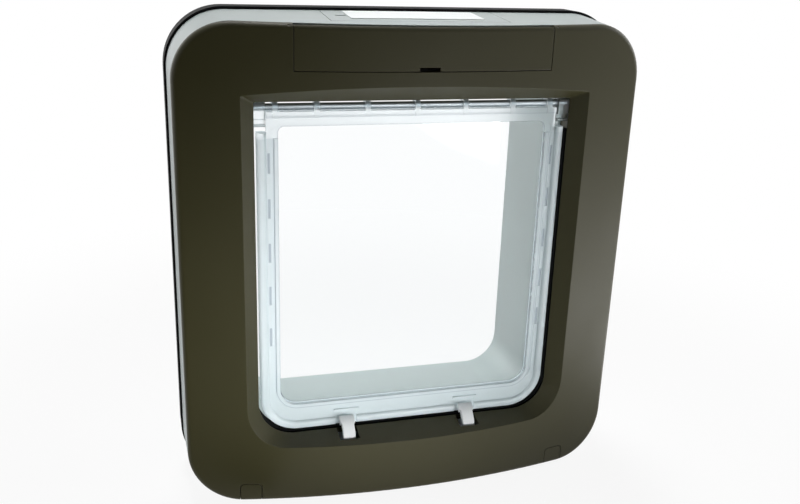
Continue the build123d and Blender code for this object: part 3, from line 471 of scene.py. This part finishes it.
def drawnMetal(name, look):
    # fine drawn lines that run along one axis
    material, tree, skin, vector = startMaterial(name)
    skin.inputs["Metallic"].default_value = 1.0
    lines = stretchedNoise(tree, vector, look["stretch"], detail=3.0)
    tree.links.new(driftColour(tree, vector, look), skin.inputs["Base Color"])
    linkRoughness(tree, skin, lines, look)
    addBump(tree, skin, lines, look["bump"], drawnDepth)
    return material


rodLook = {"first": (0.42, 0.47, 0.50), "second": (0.52, 0.57, 0.60), "driftScale": 40.0,
           "stretch": (60.0, 2600.0, 2600.0), "roughLow": 0.36, "roughHigh": 0.48, "bump": 0.1}
screwLook = {"first": (0.50, 0.51, 0.52), "second": (0.62, 0.63, 0.64), "driftScale": 120.0,
             "stretch": (2400.0, 300.0, 2400.0), "roughLow": 0.29, "roughHigh": 0.42, "bump": 0.12}
motorLook = {"first": (0.52, 0.53, 0.55), "second": (0.62, 0.63, 0.65), "driftScale": 60.0,
             "stretch": (2200.0, 160.0, 160.0), "roughLow": 0.29, "roughHigh": 0.4, "bump": 0.1}
pinionLook = {"first": (0.62, 0.44, 0.17), "second": (0.72, 0.53, 0.23), "driftScale": 150.0,
              "stretch": (200.0, 2400.0, 2400.0), "roughLow": 0.29, "roughHigh": 0.4, "bump": 0.1}
contactLook = {"first": (0.66, 0.65, 0.61), "second": (0.76, 0.75, 0.71), "driftScale": 120.0,
               "stretch": (1500.0, 1500.0, 120.0), "roughLow": 0.29, "roughHigh": 0.38, "bump": 0.08}
rodSteel = drawnMetal("rodSteel", rodLook)
screwSteel = drawnMetal("screwSteel", screwLook)
motorSteel = drawnMetal("motorSteel", motorLook)
pinionBrass = drawnMetal("pinionBrass", pinionLook)
contactSteel = drawnMetal("contactSteel", contactLook)


cellLook = {
    "wrap": (0.20, 0.24, 0.26), "band": (0.60, 0.62, 0.62), "cap": (0.62, 0.62, 0.60),
    "bandLength": 0.007, "capLength": 0.0016, "soft": 0.0001, "roughLow": 0.22, "roughHigh": 0.36,
}


def makeCellWrap(node, plusAtHigh, look):
    # plain two-colour sleeve, bare metal at the ends
    low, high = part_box(node)
    soft = look["soft"]
    material, tree, skin, vector = startMaterial("cellWrap_" + node)
    split = addNode(tree, "ShaderNodeSeparateXYZ")
    tree.links.new(vector, split.inputs["Vector"])
    along = split.outputs["X"]
    if plusAtHigh:
        bandMask = stepMask(tree, along, high.x - look["bandLength"], soft)
    else:
        bandMask = turnOver(tree, stepMask(tree, along, low.x + look["bandLength"], soft))
    sleeve = mixColours(tree, bandMask, look["wrap"], look["band"])
    lowEnd = turnOver(tree, stepMask(tree, along, low.x + look["capLength"], soft))
    highEnd = stepMask(tree, along, high.x - look["capLength"], soft)
    ends = mathNode(tree, "ADD", lowEnd, highEnd, clamp=True)
    tree.links.new(mixColours(tree, ends, sleeve, look["cap"]), skin.inputs["Base Color"])
    touch = touchRoughness(tree, vector, look["roughLow"], look["roughHigh"])
    tree.links.new(touch, skin.inputs["Roughness"])
    tree.links.new(ends, skin.inputs["Metallic"])
    return material


boardLook = {
    "mask": (0.008, 0.075, 0.03), "track": (0.02, 0.14, 0.06), "chip": (0.012, 0.012, 0.013),
    "trackScale": 260.0, "trackWidth": 0.12, "thickness": 0.00165, "soft": 0.00003,
    "roughLow": 0.28, "roughHigh": 0.42,
}


def makeBoardGreen(look):
    # green mask with faint tracks, and dark chips where the surface stands proud
    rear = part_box("circuit_board")[1].y
    material, tree, skin, vector = startMaterial("boardGreen")
    tracks = addNode(tree, "ShaderNodeTexBrick")
    tracks.inputs["Scale"].default_value = look["trackScale"]
    tracks.inputs["Mortar Size"].default_value = look["trackWidth"]
    tracks.inputs["Color1"].default_value = (*look["mask"], 1.0)
    tracks.inputs["Color2"].default_value = (*look["mask"], 1.0)
    tracks.inputs["Mortar"].default_value = (*look["track"], 1.0)
    turn = addNode(tree, "ShaderNodeMapping")
    turn.inputs["Rotation"].default_value = (math.pi / 2, 0.0, 0.0)
    tree.links.new(vector, turn.inputs["Vector"])
    tree.links.new(turn.outputs["Vector"], tracks.inputs["Vector"])
    split = addNode(tree, "ShaderNodeSeparateXYZ")
    tree.links.new(vector, split.inputs["Vector"])
    onBoard = stepMask(tree, split.outputs["Y"], rear - look["thickness"], look["soft"])
    colour = mixColours(tree, onBoard, look["chip"], tracks.outputs["Color"])
    tree.links.new(colour, skin.inputs["Base Color"])
    touch = touchRoughness(tree, vector, look["roughLow"], look["roughHigh"])
    tree.links.new(touch, skin.inputs["Roughness"])
    return material


coilLook = {
    "first": (0.42, 0.16, 0.06), "second": (0.55, 0.24, 0.10), "driftScale": 80.0,
    "metallic": 0.8, "roughness": 0.32, "turnScale": 180.0, "bump": 0.5, "depth": 0.0003,
}


def makeCoilCopper(look):
    # lacquered wire, seen as fine turns around the tunnel
    material, tree, skin, vector = startMaterial("coilCopper")
    turns = addNode(tree, "ShaderNodeTexWave", wave_type="BANDS", bands_direction="Y")
    turns.inputs["Scale"].default_value = look["turnScale"]
    tree.links.new(vector, turns.inputs["Vector"])
    tree.links.new(driftColour(tree, vector, look), skin.inputs["Base Color"])
    skin.inputs["Metallic"].default_value = look["metallic"]
    skin.inputs["Roughness"].default_value = look["roughness"]
    addBump(tree, skin, turns.outputs["Fac"], look["bump"], look["depth"])
    return material


labelLook = {
    "first": (0.89, 0.92, 0.92), "second": (0.93, 0.95, 0.95), "driftScale": 200.0,
    "fibreScale": 1600.0, "roughLow": 0.45, "roughHigh": 0.65, "bump": 0.08, "depth": 0.0001,
}


def makeLabelPaper(look):
    # plain coated paper with a trace of fibre
    material, tree, skin, vector = startMaterial("labelPaper")
    tree.links.new(driftColour(tree, vector, look), skin.inputs["Base Color"])
    fibre = addNode(tree, "ShaderNodeTexNoise")
    fibre.inputs["Scale"].default_value = look["fibreScale"]
    fibre.inputs["Detail"].default_value = 4.0
    tree.links.new(vector, fibre.inputs["Vector"])
    linkRoughness(tree, skin, fibre.outputs["Fac"], look)
    addBump(tree, skin, fibre.outputs["Fac"], look["bump"], look["depth"])
    return material


sealShadeLook = {
    "first": (0.004, 0.004, 0.0045), "second": (0.009, 0.009, 0.0095), "fibre": (2600.0, 500.0, 2600.0),
    "roughLow": 0.85, "roughHigh": 1.0, "specular": 0.05, "bump": 0.6, "depth": 0.0004,
}


def makeShadedSealPile(look):
    # short near-black pile that lies across the strip, dark enough to stand in for the shade in the gap
    # beside the flap as well
    material, tree, skin, vector = startMaterial("shadedSealPile")
    fibre = stretchedNoise(tree, vector, look["fibre"], detail=4.0)
    tree.links.new(mixColours(tree, fibre, look["first"], look["second"]), skin.inputs["Base Color"])
    linkRoughness(tree, skin, fibre, look)
    skin.inputs["Specular IOR Level"].default_value = look["specular"]
    addBump(tree, skin, fibre, look["bump"], look["depth"])
    return material


finishes = {
    "front_cover": fasciaBrown, "battery_cover": fasciaBrown,
    "screw_plug_left": fasciaBrown, "screw_plug_right": fasciaBrown,
    "body_shell": shellGrey, "top_hatch": shellGrey, "tunnel_liner": tunnelGrey, "outer_frame": outerBlack,
    "flap_panel": flapClear, "hinge_clip_left": clipClear, "hinge_clip_right": clipClear,
    "latch_left": latchWhite, "latch_right": latchWhite, "sector_gear": latchWhite,
    "hinge_rod": rodSteel, "latch_shaft": rodSteel, "fixing_screws": screwSteel, "cover_screws": screwSteel,
    "latch_motor": motorSteel, "motor_pinion": pinionBrass,
    "mechanism_bracket": innerDark, "battery_tray": innerDark, "button_switch": innerDark,
    "setup_button": buttonGrey, "battery_contacts": contactSteel,
    "battery_1": makeCellWrap("battery_1", True, cellLook),
    "battery_2": makeCellWrap("battery_2", True, cellLook),
    "battery_3": makeCellWrap("battery_3", False, cellLook),
    "battery_4": makeCellWrap("battery_4", False, cellLook),
    "circuit_board": makeBoardGreen(boardLook), "antenna_coil": makeCoilCopper(coilLook),
    "hatch_label": makeLabelPaper(labelLook),
}
for name, material in finishes.items():
    nodes[name].data.materials.clear()
    nodes[name].data.materials.append(material)
print("finishes on", len(finishes), "nodes")

# Thin pile strip that lines the sill under and beside the flap, clear of its swing; its near-black pile also
# stands in for the shade in the gap around the flap
sealPlan = {"sideGap": 0.0022, "footGap": 0.0020, "corner": 0.018, "thickness": 0.0009, "lift": 0.00002,
            "start": 0.0010, "length": 0.0065, "headDrop": 0.0150, "edge": 0.00025,
            "cornerSteps": 14, "edgeSteps": 2, "sharpAngle": 1.0, "closeTo": 1e-6}


def makeSeal(plan):
    low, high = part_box("flap_panel")
    half = high.x + plan["sideGap"] - plan["lift"]
    foot = low.z - plan["footGap"] + plan["lift"]
    head = high.z - plan["headDrop"]
    start = low.y + plan["start"]
    mesh = bpy.data.meshes.new("sillSeal")
    shape = bmesh.new()
    outline = [shape.verts.new(point) for point in
               ((-half, start, head), (-half, start, foot), (half, start, foot), (half, start, head))]
    shape.faces.new(outline)
    bmesh.ops.bevel(shape, geom=outline[1:3], offset=plan["corner"], offset_type="OFFSET",
                    affect="VERTICES", segments=plan["cornerSteps"], profile=0.5, material=-1)
    bmesh.ops.delete(shape, geom=shape.faces[:], context="FACES_ONLY")
    headEdges = [edge for edge in shape.edges
                 if all(abs(vert.co.z - head) < plan["closeTo"] for vert in edge.verts)]
    bmesh.ops.delete(shape, geom=headEdges, context="EDGES")
    run = bmesh.ops.extrude_edge_only(shape, edges=shape.edges[:])
    moved = [item for item in run["geom"] if isinstance(item, bmesh.types.BMVert)]
    bmesh.ops.translate(shape, vec=(0.0, plan["length"], 0.0), verts=moved)
    bmesh.ops.recalc_face_normals(shape, faces=shape.faces[:])
    middle = Vector((0.0, start, (head + foot) / 2))
    face = max(shape.faces, key=lambda item: item.calc_area())
    if face.normal.dot(middle - face.calc_center_median()) > 0:
        bmesh.ops.reverse_faces(shape, faces=shape.faces[:])
    bmesh.ops.solidify(shape, geom=shape.faces[:], thickness=plan["thickness"])
    bmesh.ops.recalc_face_normals(shape, faces=shape.faces[:])
    sharp = [edge for edge in shape.edges if edge.is_manifold and edge.calc_face_angle() > plan["sharpAngle"]]
    bmesh.ops.bevel(shape, geom=sharp, offset=plan["edge"], offset_type="OFFSET", affect="EDGES",
                    segments=plan["edgeSteps"], profile=0.5, material=-1)
    shape.to_mesh(mesh)
    shape.free()
    seal = bpy.data.objects.new("sillSeal", mesh)
    scene.collection.objects.link(seal)
    mesh.materials.append(makeShadedSealPile(sealShadeLook))
    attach(seal, "housing")
    print("seal strip:", len(mesh.polygons), "faces")


makeSeal(sealPlan)

# Camera at the photo's angle
cameraPlan = {"azimuth": -16.35, "elevation": 18.93, "roll": 2.01, "distance": 0.4065,
              "target": (-0.0105, -0.04225, 0.1235), "lens": 41.29, "sensor": 36.0, "nearest": 0.01}


def placeCamera(plan):
    azimuth, elevation, roll = (math.radians(plan[key]) for key in ("azimuth", "elevation", "roll"))
    back = Vector((math.sin(azimuth) * math.cos(elevation), -math.cos(azimuth) * math.cos(elevation),
                   math.sin(elevation)))
    right = (-back).cross(Vector((0, 0, 1))).normalized()
    up = right.cross(-back)
    across = right * math.cos(roll) + up * math.sin(roll)
    upward = up * math.cos(roll) - right * math.sin(roll)
    turn = Matrix((across, upward, back)).transposed().to_4x4()
    data = bpy.data.cameras.new("photoCamera")
    data.lens = plan["lens"]
    data.sensor_width = plan["sensor"]
    data.sensor_fit = "HORIZONTAL"
    data.clip_start = plan["nearest"]
    camera = bpy.data.objects.new("photoCamera", data)
    camera.matrix_world = Matrix.Translation(Vector(plan["target"]) + back * plan["distance"]) @ turn
    scene.collection.objects.link(camera)
    scene.camera = camera


placeCamera(cameraPlan)
print("camera placed")

# Floor and studio light
floorPlan = {"half": 6.0, "colour": (0.86, 0.87, 0.87), "roughness": 0.7, "white": 1.0,
             "nearGlow": 0.90, "nearReach": 0.10, "farReach": 0.45}


def seenRays(tree):
    # rays that show the background: straight from the camera, mirrored or through clear plastic
    ray = addNode(tree, "ShaderNodeLightPath")
    straight = mathNode(tree, "MAXIMUM", ray.outputs["Is Camera Ray"], ray.outputs["Is Transmission Ray"])
    return mathNode(tree, "MAXIMUM", straight, ray.outputs["Is Glossy Ray"])


def makeFloor(plan):
    mesh = bpy.data.meshes.new("floor")
    shape = bmesh.new()
    bmesh.ops.create_grid(shape, x_segments=1, y_segments=1, size=plan["half"])
    shape.to_mesh(mesh)
    shape.free()
    floor = bpy.data.objects.new("floor", mesh)
    scene.collection.objects.link(floor)
    material, tree, skin, vector = startMaterial("paleFloor")
    skin.inputs["Base Color"].default_value = (*plan["colour"], 1.0)
    skin.inputs["Roughness"].default_value = plan["roughness"]
    # white where it is seen, with the object's shadow left in the near part
    away = addNode(tree, "ShaderNodeVectorMath", operation="LENGTH")
    tree.links.new(vector, away.inputs[0])
    reach = addNode(tree, "ShaderNodeMapRange", interpolation_type="SMOOTHSTEP")
    reach.inputs["From Min"].default_value = plan["nearReach"]
    reach.inputs["From Max"].default_value = plan["farReach"]
    reach.inputs["To Min"].default_value = plan["nearGlow"]
    tree.links.new(away.outputs["Value"], reach.inputs["Value"])
    white = addNode(tree, "ShaderNodeEmission")
    white.inputs["Strength"].default_value = plan["white"]
    pick = addNode(tree, "ShaderNodeMixShader")
    tree.links.new(mathNode(tree, "MULTIPLY", reach.outputs["Result"], seenRays(tree)), pick.inputs["Fac"])
    tree.links.new(skin.outputs["BSDF"], pick.inputs[1])
    tree.links.new(white.outputs["Emission"], pick.inputs[2])
    tree.links.new(pick.outputs["Shader"], tree.nodes["Material Output"].inputs["Surface"])
    mesh.materials.append(material)


makeFloor(floorPlan)

# dark card at the front left, out of the camera's sight: it lies on the floor and stands up at its far edge
cardPlan = {"left": -1.1, "rightNear": -0.07, "rightFar": 0.05, "near": -0.045, "far": -0.9, "lift": 0.001,
            "height": 1.1, "shade": 0.004, "roughness": 0.9, "specular": 0.1}


def makeCard(plan):
    mesh = bpy.data.meshes.new("darkCard")
    shape = bmesh.new()
    corners = [shape.verts.new((x, y, plan["lift"])) for x, y in (
        (plan["left"], plan["near"]), (plan["left"], plan["far"]),
        (plan["rightFar"], plan["far"]), (plan["rightNear"], plan["near"]))]
    shape.faces.new(corners)
    farEdge = shape.edges.get((corners[1], corners[2]))
    grown = bmesh.ops.extrude_edge_only(shape, edges=[farEdge])
    raised = [item for item in grown["geom"] if isinstance(item, bmesh.types.BMVert)]
    bmesh.ops.translate(shape, vec=(0.0, 0.0, plan["height"]), verts=raised)
    shape.to_mesh(mesh)
    shape.free()
    card = bpy.data.objects.new("darkCard", mesh)
    scene.collection.objects.link(card)
    material, _, skin, _ = startMaterial("darkFelt")
    skin.inputs["Base Color"].default_value = (plan["shade"], plan["shade"], plan["shade"], 1.0)
    skin.inputs["Roughness"].default_value = plan["roughness"]
    skin.inputs["Specular IOR Level"].default_value = plan["specular"]
    mesh.materials.append(material)
    for flag in ("visible_camera", "visible_transmission", "visible_shadow"):
        setattr(card, flag, False)


makeCard(cardPlan)

# soft lamps: some held to a beam by a grid, some lying on the table and shining up as its white top does
lampPlan = {
    "keyLamp": {"place": (0.22, -0.62, 0.05), "aim": (-0.045, -0.04, 0.055), "size": 0.12, "spread": 26.0,
                "power": 0.088, "mirrored": True},
    "tableLamp": {"place": (0.315, -0.14, 0.002), "aim": (0.315, -0.14, 1.0), "size": 0.26, "spread": 180.0,
                  "power": 1.2, "mirrored": True},
    "tableFront": {"place": (0.12, -0.27, 0.002), "aim": (0.12, -0.27, 1.0), "size": 0.34, "spread": 180.0,
                   "power": 0.28, "mirrored": False},
    "tableLeft": {"place": (-0.10, -0.18, 0.002), "aim": (-0.10, -0.18, 1.0), "size": 0.2, "spread": 180.0,
                  "power": 0.22, "mirrored": False},
    "topLamp": {"place": (-0.05, 0.28, 1.15), "aim": (0.0, 0.02, 0.22), "size": 0.3, "spread": 25.0,
                "power": 0.305, "mirrored": True},
    "leftLamp": {"place": (-0.9, 0.0, 0.16), "aim": (-0.107, 0.0, 0.05), "size": 0.5, "spread": 90.0,
                 "power": 0.43, "mirrored": True},
    "rightLamp": {"place": (0.9, 0.1, 0.4), "aim": (0.107, 0.0, 0.1), "size": 0.5, "spread": 90.0,
                  "power": 1.08, "mirrored": True},
    "rearLamp": {"place": (-0.75, 0.85, 0.34), "aim": (0.05, 0.03, 0.1), "size": 0.9, "spread": 140.0,
                 "power": 2.4, "mirrored": True},
}


def makeLamp(name, plan):
    data = bpy.data.lights.new(name, "AREA")
    data.shape = "SQUARE"
    data.size = plan["size"]
    data.spread = math.radians(plan["spread"])
    data.energy = plan["power"]
    lamp = bpy.data.objects.new(name, data)
    place = Vector(plan["place"])
    lamp.location = place
    lamp.rotation_euler = (Vector(plan["aim"]) - place).to_track_quat("-Z", "Y").to_euler()
    lamp.visible_camera = False
    lamp.visible_transmission = False
    lamp.visible_glossy = plan["mirrored"]
    scene.collection.objects.link(lamp)


for name, plan in lampPlan.items():
    makeLamp(name, plan)

skyPlan = {"fill": 0.025, "shown": 1.0}


def makeSky(plan):
    world = bpy.data.worlds.new("studio")
    scene.world = world
    world.use_nodes = True
    tree = world.node_tree
    sky = tree.nodes["Background"]
    sky.inputs["Color"].default_value = (1.0, 1.0, 1.0, 1.0)
    sky.inputs["Strength"].default_value = plan["fill"]
    shown = addNode(tree, "ShaderNodeBackground")
    shown.inputs["Color"].default_value = (1.0, 1.0, 1.0, 1.0)
    shown.inputs["Strength"].default_value = plan["shown"]
    pick = addNode(tree, "ShaderNodeMixShader")
    tree.links.new(seenRays(tree), pick.inputs["Fac"])
    tree.links.new(sky.outputs["Background"], pick.inputs[1])
    tree.links.new(shown.outputs["Background"], pick.inputs[2])
    tree.links.new(pick.outputs["Shader"], tree.nodes["World Output"].inputs["Surface"])


makeSky(skyPlan)
print("studio ready")
